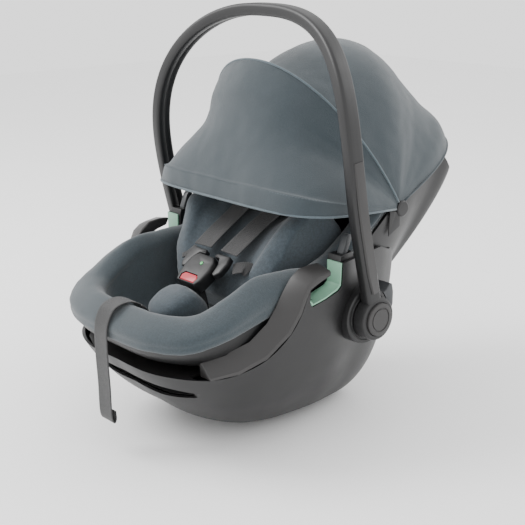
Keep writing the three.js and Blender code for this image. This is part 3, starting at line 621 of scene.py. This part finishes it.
def make_bucket():
    outer = bowl(BUCKET_RIM, BUCKET_BASE, BUCKET_SQUARENESS, 0)
    inner = bowl(BUCKET_RIM, BUCKET_BASE, BUCKET_SQUARENESS, WALL)
    over = loop(inward(BUCKET_RIM[:10], WALL * 0.3, 0.6) + CROWN_HEAD)
    under = loop(inward(BUCKET_RIM[:10], WALL * 0.7, 0.6) + CROWN_UNDER)
    piece = sharpened(lofted("bucket", [*outer[::-1], over, under, *inner]))
    dressed(piece, "seat", "shell_plastic", BLACK, "seat_bucket")


def cover_profile(rows):
    """Rings of the cover's skin from the bottom of the seat over its padded roll to the hem."""
    crest, shoulder, hem = (loop(half) for half in (COVER_CREST, COVER_SHOULDER, COVER_HEM))
    cavity = bowl(CAVITY_RIM, CAVITY_BASE, CAVITY_SQUARENESS, 0)[::-1]
    tuck = loop(inward(COVER_HEM, 5, 0))
    stations = [cavity[-3], cavity[-1], crest, shoulder, hem, tuck]
    roll = [curve([ring[i] for ring in stations], rows) for i in range(LOOP)]
    roll = np.swapaxes(np.array(roll), 0, 1)
    return [*cavity[:-3], *roll]


def cover_seam():
    """The sewn line round the outer side of the roll, a little above the hem."""
    shoulder, hem = loop(COVER_SHOULDER), loop(COVER_HEM)
    return shoulder * 0.45 + hem * 0.55


def nearest(places, line):
    """How far each place is from the nearest point of a line, worked out in batches."""
    batches = np.array_split(places, len(places) // 2000 + 1)
    return np.concatenate([np.linalg.norm(batch[:, None, :] - line[None, :, :], axis=2).min(axis=1)
                           for batch in batches])


def make_cover():
    rings = cover_profile(50)
    piece = lofted("cover", rings, caps=False)
    seam = cover_seam()
    places = coordinates(piece.data) / MM
    pull = np.exp(-(nearest(places, seam) / SEAM_WIDTH) ** 2)
    out = normals(piece.data)
    set_coordinates(piece.data, (places - out * (pull * SEAM_DEPTH)[:, None]) * MM)
    rumpled(piece, 2.0, 46, 3, lambda p: np.clip((p[:, 2] - 150) / 60, 0, 1))
    rumpled(piece, 0.7, 13, 8)
    add_modifier(piece, "SOLIDIFY", thickness=1.6 * MM, offset=-1)
    dressed(piece, "seat", "cover_fabric", SLATE, "seat_cover")
    ring = np.vstack([seam, seam[:1]])
    outwards = ring - np.array([0, -60, 0]) * [0, 1, 0]
    outwards[:, 2] = 0
    outwards = unit(outwards)
    thread = stitches("cover_seam_thread", ring + outwards * 0.2 + [0, 0, 3.4])
    dressed(thread, "seat", "cover_fabric", THREAD)


# ---------- carrier hull ----------
HULL_TOP = 290
HULL_RIM = [(x, y, HULL_TOP) for x, y in (
    (0, -332), (95, -324), (165, -278), (191, -210), (198, -120),
    (194, -50), (176, 10), (154, 84), (120, 132), (0, 146))]
HULL_BASE = [(x, y, 0) for x, y in (
    (0, -72), (18, -71), (34, -62), (44, -44), (46, -20),
    (46, 4), (46, 28), (44, 50), (30, 66), (0, 70))]
HULL_SQUARENESS = (2, 2.2, 2.6)
CUT_HALF = 260  # half the length of the blocks that cut the hull, more than its own half width
SWEEP_EDGE = [(-245, 131.5), (-212, 137), (-174, 152), (-141, 181), (-126, 206), (-119, 226),
              (-113, 238)]
SLOT_EDGE = [(-113, 220), (-108, 213), (-82, 218), (-57, 224), (-50, 230), (-50, 262)]
REAR_EDGE = [(60, 258), (90, 246), (200, 240)]
GRIP_OPENING = [(-340, 114), (-290, 112), (-246, 106), (-243, 98), (-262, 90), (-300, 84),
                (-340, 84)]


def hull_rings(depth, count=40):
    """The hull's rings from the rim down, moved in by depth."""
    rim = loop(inward(HULL_RIM, depth))
    return bowl_rings(rim, loop(inward(HULL_BASE, 0, depth)), HULL_SQUARENESS, count)


def bucket_room():
    """The space that the hull leaves free for the bucket."""
    outer = bowl(BUCKET_RIM, BUCKET_BASE, BUCKET_SQUARENESS, -1.2)
    lid = [ring + [0, 0, 120] for ring in outer[:1]]
    return lofted("bucket_room", [*outer[::-1], *lid])


def make_hull():
    piece = lofted("hull", [*hull_rings(0)[::-1], *hull_rings(WALL)])
    sweep = [tuple(p) for p in curve(SWEEP_EDGE, 24)]
    outline = [(-400, sweep[0][1]), *sweep, *SLOT_EDGE, *REAR_EDGE, (200, 400), (-400, 400)]
    above = slab("above_hull", outline, -CUT_HALF, CUT_HALF)
    grip = slab("grip_cut", GRIP_OPENING, -CUT_HALF, CUT_HALF)
    cut(piece, above, grip, bucket_room())
    add_modifier(piece, "BEVEL", width=1.2 * MM, segments=2, limit_method="ANGLE",
                 angle_limit=math.radians(50), use_clamp_overlap=True)
    sharpened(piece, 40)
    dressed(piece, "seat", "shell_plastic", BLACK, "rocker_shell")


PIN_GROOVE = 1.5  # depth


def make_base_parts():
    moulded("grip_pocket", "shell_plastic", BLACK, 0.8)
    moulded("front_shelf", "trim_plastic", CHARCOAL, 1.0)
    low, high = low_high("guide_pin_left")
    y, z = (low[1] + high[1]) / 2, (low[2] + high[2]) / 2
    big = (high[2] - low[2]) / 2
    small = big - PIN_GROOVE
    profile = [(low[0], big - 0.6), (low[0] + 0.6, big), (low[0] + 4, big), (low[0] + 4, small),
               (high[0] - 8, small), (high[0] - 8, big), (high[0] - 4, big), (high[0] - 4, small),
               (high[0] - 0.6, small), (high[0], small - 0.6)]
    pin = dressed(turned("pin_left", profile, y, z, 48), "seat", "pin_steel", STEEL, "guide_pin_left")
    twin = mirror_copy(pin, "pin_right")
    dressed(twin, "seat", "pin_steel", STEEL, "guide_pin_right")


# ---------- handle and hubs ----------
HANDLE_FOOT = 206
HANDLE_REACH = 208.4
LEG_RISE = 181
HANDLE_RISE = 408
HANDLE_POWER = 2.5
LEG_SHARE = 0.3
HANDLE_SECTION = (18, 26)
HEAD_RADIUS = 31
SWAY_SPAN = 400
HANDLE_SWAY = (0, -94, -75, 152.6)  # factors of the curve that the handle follows fore and aft


def handle_point(share):
    """A place on the middle line of the handle's left half, from the hub at 0 to the top at 1."""
    if share < LEG_SHARE:
        s = share / LEG_SHARE
        x = HANDLE_FOOT + (HANDLE_REACH - HANDLE_FOOT) * (1 - (1 - s) ** 2)
        rise = LEG_RISE * s
    else:
        angle = (share - LEG_SHARE) / (1 - LEG_SHARE) * math.pi / 2
        x = HANDLE_REACH * max(math.cos(angle), 0) ** (2 / HANDLE_POWER)
        rise = LEG_RISE + (HANDLE_RISE - LEG_RISE) * math.sin(angle) ** (2 / HANDLE_POWER)
    u = rise / SWAY_SPAN
    y = sum(factor * u ** power for power, factor in enumerate(HANDLE_SWAY))
    return np.array([x, y, HUB_Z + rise])


def handle_section():
    """Rounded rectangle with a shallow parting groove in the middle of its inner face."""
    a, b = HANDLE_SECTION[0] / 2, HANDLE_SECTION[1] / 2
    radius = 5.0
    corners = [(a - radius, b - radius, 0), (-a + radius, b - radius, 90),
               (-a + radius, -b + radius, 180), (a - radius, -b + radius, 270)]
    section = []
    for u, v, start in corners:
        for step in range(5):
            turn = math.radians(start + step * 22.5)
            section.append((u + radius * math.cos(turn), v + radius * math.sin(turn)))
        if start == 90:
            section += [(-a, 0.9), (-a + 0.8, 0), (-a, -0.9)]
        if start == 270:
            section += [(a, -2), (a, 2)]
    return section


def make_handle():
    shares = np.concatenate([np.linspace(0.015, LEG_SHARE, 40, endpoint=False),
                             np.linspace(LEG_SHARE, 1, 90)])
    half = np.array([handle_point(s) for s in shares])
    path = np.vstack([half, (half * [-1, 1, 1])[-2::-1]])
    section = handle_section()
    rings = []
    for place, tangent in zip(path, unit(np.gradient(path, axis=0))):
        side = unit(np.cross([0, 1, 0], tangent))
        forward = np.cross(tangent, side)
        rings.append([place + side * u + forward * v for u, v in section])
    piece = sharpened(lofted("handle", rings), 50)
    head = handle_head("handle_head_left")
    twin = mirror_copy(head, "handle_head_right")
    dressed(piece, "handle", "shell_plastic", BLACK, "carry_handle")
    for end in (head, twin):
        dressed(end, "handle", "shell_plastic", BLACK)


def handle_head(name):
    face = DRUM_HIGH[0] + 0.4
    outer = CAP_LOW[0] + 2.6
    ring = (CAP_HIGH[2] - CAP_LOW[2]) / 2 + 0.4
    profile = [(face, HEAD_RADIUS - 1), (face + 1, HEAD_RADIUS), (outer - 4, HEAD_RADIUS),
               (outer - 1.4, HEAD_RADIUS - 1), (outer, HEAD_RADIUS - 3.5), (outer, ring + 0.6),
               (outer - 0.6, ring), (outer - 2.6, ring)]
    return turned(name, profile, 0, HUB_Z)


def make_hubs():
    radius = (DRUM_HIGH[2] - DRUM_LOW[2]) / 2
    face = DRUM_HIGH[0]
    drum = [(DRUM_LOW[0], radius), (face - 3.4, radius), (face - 1.6, radius - 0.5),
            (face - 0.4, radius - 1.8), (face, radius - 3.4), (face, radius - 6),
            (face - 0.8, radius - 6.6), (face - 0.8, radius - 7.4), (face, radius - 8)]
    cap_radius = (CAP_HIGH[2] - CAP_LOW[2]) / 2
    cap_face = CAP_HIGH[0]
    cap = [(CAP_LOW[0], cap_radius), (cap_face - 1.6, cap_radius), (cap_face - 0.5, cap_radius - 0.5),
           (cap_face, cap_radius - 1.8), (cap_face, cap_radius - 6), (cap_face - 1, cap_radius - 6.5),
           (cap_face - 1, cap_radius - 8), (cap_face, cap_radius - 8.5), (cap_face, 1)]
    for name, profile, body, slot, material in (
            ("hub_drum", drum, "seat", "shell_plastic", BLACK),
            ("hub_cap", cap, "handle", "trim_plastic", CHARCOAL)):
        left = turned(f"{name}_turned_left", profile, 0, HUB_Z)
        right = mirror_copy(left, f"{name}_turned_right")
        dressed(left, body, slot, material, f"{name}_left")
        dressed(right, body, slot, material, f"{name}_right")
    moulded_pair("handle_leg_cover", "trim_plastic", CHARCOAL, 0.6, "handle")
    moulded_pair("handle_release_button", "lever_plastic", GREY, 1.2, "release_left", "release_right")
    moulded_pair("adapter_lever", "lever_plastic", GREY, 0.8, "lever_left", "lever_right")


def make_side_parts():
    moulded_pair("side_post", "shell_plastic", BLACK, 1.2)
    moulded_pair("belt_guide", "guide_plastic", MINT, 0.9)
    moulded_pair("armrest_trim", "trim_plastic", CHARCOAL, 1.6)
    moulded_pair("canopy_bracket", "shell_plastic", BLACK, 1.0)


# ---------- pads ----------
PAD_PRESSURE = 4
PAD_FRAMES = 20


def puffed(name, node, voxel, cap, out):
    """A stuffed pad: the CAD solid is remeshed and swollen by air where it faces out, by cap
    millimetres at most, and what lies on the seat stays where it is."""
    piece = copied(name, node)
    add_modifier(piece, "REMESH", mode="VOXEL", voxel_size=voxel * MM)
    add_modifier(piece, "SMOOTH", factor=0.6, iterations=8)
    apply_modifiers(piece)
    start = coordinates(piece.data)
    facing = np.clip(normals(piece.data) @ np.asarray(out) * 1.4 + 0.3, 0.12, 1)
    air = add_modifier(piece, "CLOTH")
    air.settings.use_pressure = True
    air.settings.uniform_pressure_force = PAD_PRESSURE
    air.settings.effector_weights.gravity = 0
    air.settings.quality = 4
    for step in range(1, PAD_FRAMES + 1):
        scene.frame_set(step)
    swollen = coordinates(piece.evaluated_get(bpy.context.evaluated_depsgraph_get()).data)
    piece.modifiers.clear()
    scene.frame_set(1)
    move = swollen - start
    size = np.linalg.norm(move, axis=1)
    limit = cap * MM * facing
    start = start + move * np.minimum(1, limit / np.maximum(size, 1e-9))[:, None]
    set_coordinates(piece.data, start)
    piece.data.shade_smooth()
    add_modifier(piece, "SMOOTH", factor=0.5, iterations=3)
    add_modifier(piece, "SUBSURF", levels=1, render_levels=1)
    apply_modifiers(piece)
    piece.data.shade_smooth()
    return piece


def make_pads():
    insert = puffed("insert_padded", "newborn_insert", 5, 6, BACKREST_OUT)
    rumpled(insert, 1.0, 40, 5)
    dressed(insert, "seat", "insert_fabric", JERSEY, "newborn_insert")
    headrest = puffed("headrest_padded", "headrest_pad", 4.5, 6, BACKREST_OUT)
    rumpled(headrest, 1.0, 38, 9)
    dressed(headrest, "headrest", "insert_fabric", JERSEY, "headrest_pad")
    crotch = puffed("crotch_padded", "crotch_pad", 4, 4, (0, -0.3, 0.95))
    rumpled(crotch, 0.8, 24, 12)
    dressed(crotch, "seat", "insert_fabric", JERSEY, "crotch_pad")
    moulded("headrest_shell", "shell_plastic", BLACK, 0.8, "headrest")
    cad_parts["foam_liner"].data.materials.clear()
    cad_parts["foam_liner"].data.materials.append(FOAM)


# ---------- harness ----------
CHEST = np.array([0, -0.5, 0.87])
SHOULDER_PATH = [(29, -112, 252), (30, -89, 266.5), (31, -51, 288), (34, -19, 304.5),
                 (36, 4, 315), (36.5, 12.5, 314), (36.5, 15, 309.5)]
WAIST_PATH = [(48.8, -121.8, 235), (55, -116.8, 237.2), (62, -111, 238), (69, -108, 235)]
CROTCH_PATH = [(0, -146, 203), (0, -142, 188), (0, -138, 170), (0, -134, 153)]
ADJUSTER_PATH = [(0, -232, 170), (0, -240, 187), (0, -256, 205), (0, -277, 213),
                 (0, -299, 208), (0, -311, 188), (0, -313, 150), (0, -311, 100), (0, -309, 50),
                 (0, -306, 45.5), (0, -303.5, 50), (0, -304, 62)]
WEBBING = 1.8


def belt(name, path, width, facing, body, node, steps=60):
    """A flat belt with rounded selvedges and texture coordinates along it."""
    line = curve(path, steps)
    ahead = unit(np.gradient(line, axis=0))
    sides = unit(np.cross(ahead, facing))
    t = WEBBING / 2
    half = width / 2
    section = [(-half, -t * 0.5), (-half, t * 0.5), (-half + 1.2, t), (-half + 3, t * 0.8),
               (0, t * 0.85), (half - 3, t * 0.8), (half - 1.2, t), (half, t * 0.5),
               (half, -t * 0.5), (half - 1.2, -t), (0, -t * 0.85), (-half + 1.2, -t)]
    rings = []
    for place, tangent, side in zip(line, ahead, sides):
        out = np.cross(side, tangent)
        rings.append([place + side * u + out * v for u, v in section])
    piece = sharpened(lofted(name, rings), 60)
    reach = reach_along(line)
    layer = piece.data.uv_layers.new(name="belt")
    places = coordinates(piece.data) / MM
    spot = np.argmin(np.linalg.norm(places[:, None, :] - line[None, :, :], axis=2), axis=1)
    across = ((places - line[spot]) * sides[spot]).sum(axis=1)
    for corner in piece.data.loops:
        vertex = corner.vertex_index
        layer.data[corner.index].uv = (across[vertex] * MM, reach[spot[vertex]] * MM)
    return dressed(piece, body, "webbing", BELT, node)


def mirrored_path(path):
    return [(-x, y, z) for x, y, z in path]


def make_harness():
    for side, turn in (("left", list), ("right", mirrored_path)):
        belt(f"shoulder_belt_{side}", turn(SHOULDER_PATH), 37, CHEST, "seat", f"shoulder_strap_{side}")
        belt(f"waist_belt_{side}", turn(WAIST_PATH), 24, CHEST, "seat", f"waist_strap_{side}", 24)
    belt("crotch_belt", CROTCH_PATH, 30, (0, -1, 0.2), "seat", "crotch_strap", 24)
    belt("adjuster_belt", ADJUSTER_PATH, 30, (0, -0.8, 0.6), "seat", "adjuster_strap", 120)
    moulded("buckle_body", "buckle_plastic", BLACK, 1.0)
    moulded("buckle_button", "button_plastic", RED, 1.0, "buckle_button")
    moulded("buckle_indicator", "indicator_plastic", GREEN, 0.4)
    moulded_pair("harness_tongue", "buckle_plastic", BLACK, 1.2)


# ---------- canopy ----------
# Stations: angle forward of upright, radius at the middle, half width, squareness of the arch.
FRONT = [(85, 204, 190, 4.8), (78, 202, 190, 4.6), (76, 197.5, 188, 4.3), (66, 195, 183, 3.2),
         (56, 201, 175.5, 2.4), (48, 215, 171.5, 2.1), (43, 229, 169.5, 2.05),
         (37, 239, 170, 2.05), (32.5, 244, 171, 2.1)]
DOME = [(30, 210, 161.5, 2.1), (20, 211.5, 163, 2), (5, 220, 164, 2), (-10, 230, 163, 2),
        (-24, 226, 156, 2), (-36, 212, 150, 2.2), (-48, 204, 147, 2.7), (-58, 208, 148, 3.3),
        (-67, 207, 149, 3.5)]
FRONT_PIVOT = 170
DOME_PIVOT = 162.5
CANOPY_EYE = 11
CANOPY_STEPS = 110  # along an arch, as its curve is worked out
CANOPY_COLUMNS = 120  # of even points in the cloth


def canopy_row(station, pivot_half):
    angle, radius, half, power = station
    lean = math.radians(angle)
    last = math.acos((CANOPY_EYE / radius) ** (power / 2))
    turns = np.linspace(-last, last, CANOPY_STEPS + 1)
    share = np.cos(turns) ** (2 / power)
    across = np.sign(turns) * np.abs(np.sin(turns)) ** (2 / power)
    width = pivot_half + (half - pivot_half) * share
    r = radius * share
    return np.column_stack([across * width, PIVOT_Y - r * math.sin(lean),
                            PIVOT_Z + r * math.cos(lean)])


def canopy_rows():
    front = [canopy_row(s, FRONT_PIVOT) for s in curve(FRONT, 46)]
    rear = [canopy_row(s, DOME_PIVOT) for s in curve(DOME, 60)]
    return front, rear


OUTSIDE = 0.004  # share by which a seam or thread stands outside the cloth
HEM_ROW = 6  # row of the front panel that the brim is sewn along


def blended(piece, material):
    """Gives a canopy piece its cloth, and bakes its placement into its mesh."""
    piece.data.materials.clear()
    piece.data.materials.append(material)
    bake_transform(piece)
    return piece


def taut(rows):
    """Spans the rows evenly: points at equal steps along each."""
    spaced = []
    for row in rows:
        reach = reach_along(row)
        steps = np.linspace(0, reach[-1], CANOPY_COLUMNS)
        spaced.append(np.column_stack([np.interp(steps, reach, row[:, k]) for k in range(3)]))
    return spaced


def make_canopy():
    front, rear = canopy_rows()
    rows = taut([*front, *rear])
    piece = sheet_mesh("canopy_sheet", rows)
    rumpled(piece, 2.2, 70, 21)
    rumpled(piece, 0.6, 18, 22)
    add_modifier(piece, "SOLIDIFY", thickness=1.4 * MM, offset=-1)
    apply_modifiers(piece)
    sharpened(piece, 50)
    blended(piece, CANOPY_CLOTH)
    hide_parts("canopy_front", "canopy_dome")
    seam = front[-1] + (front[-1] - np.array([0, PIVOT_Y, PIVOT_Z])) * OUTSIDE
    hem = front[HEM_ROW] * [1 + OUTSIDE, 1, 1] + [0, 0, 1.0]
    trims = [
        blended(cord_mesh("canopy_piping", seam, 1.5), PIPING),
        blended(cord_mesh("canopy_brim_piping", front[0], 1.7), PIPING),
        blended(cord_mesh("canopy_tail_hem", rear[-1], 1.7), CANOPY_CLOTH),
        blended(stitches("canopy_brim_thread", hem), THREAD),
    ]
    moulded("canopy_bow_front", "shell_plastic", BLACK, 0.5, "canopy")
    moulded("canopy_bow_middle", "shell_plastic", BLACK, 0.5, "canopy_middle")
    moulded("canopy_bow_rear", "shell_plastic", BLACK, 0.5, "seat")


# ---------- floor ----------
FLOOR_HALF = 4000
FLOOR_GAP = 0.5


def make_floor():
    surface = Surface("floor", 0.7)
    broad = surface.noise(2, 2)
    base = surface.mix(broad, (0.93, 0.93, 0.93, 1), (0.95, 0.95, 0.95, 1))
    corners = [(x * FLOOR_HALF, y * FLOOR_HALF, 0) for x, y in ((-1, -1), (1, -1), (1, 1), (-1, 1))]
    floor = make_mesh("floor", corners, [(0, 1, 2, 3)])
    floor.data.materials.append(surface.finish(base))
    floor.location.z = -FLOOR_GAP * MM


make_camera()
make_floor()
make_studio()
make_bucket()
make_cover()
make_hull()
make_base_parts()
make_handle()
make_hubs()
make_side_parts()
make_pads()
make_harness()
make_canopy()
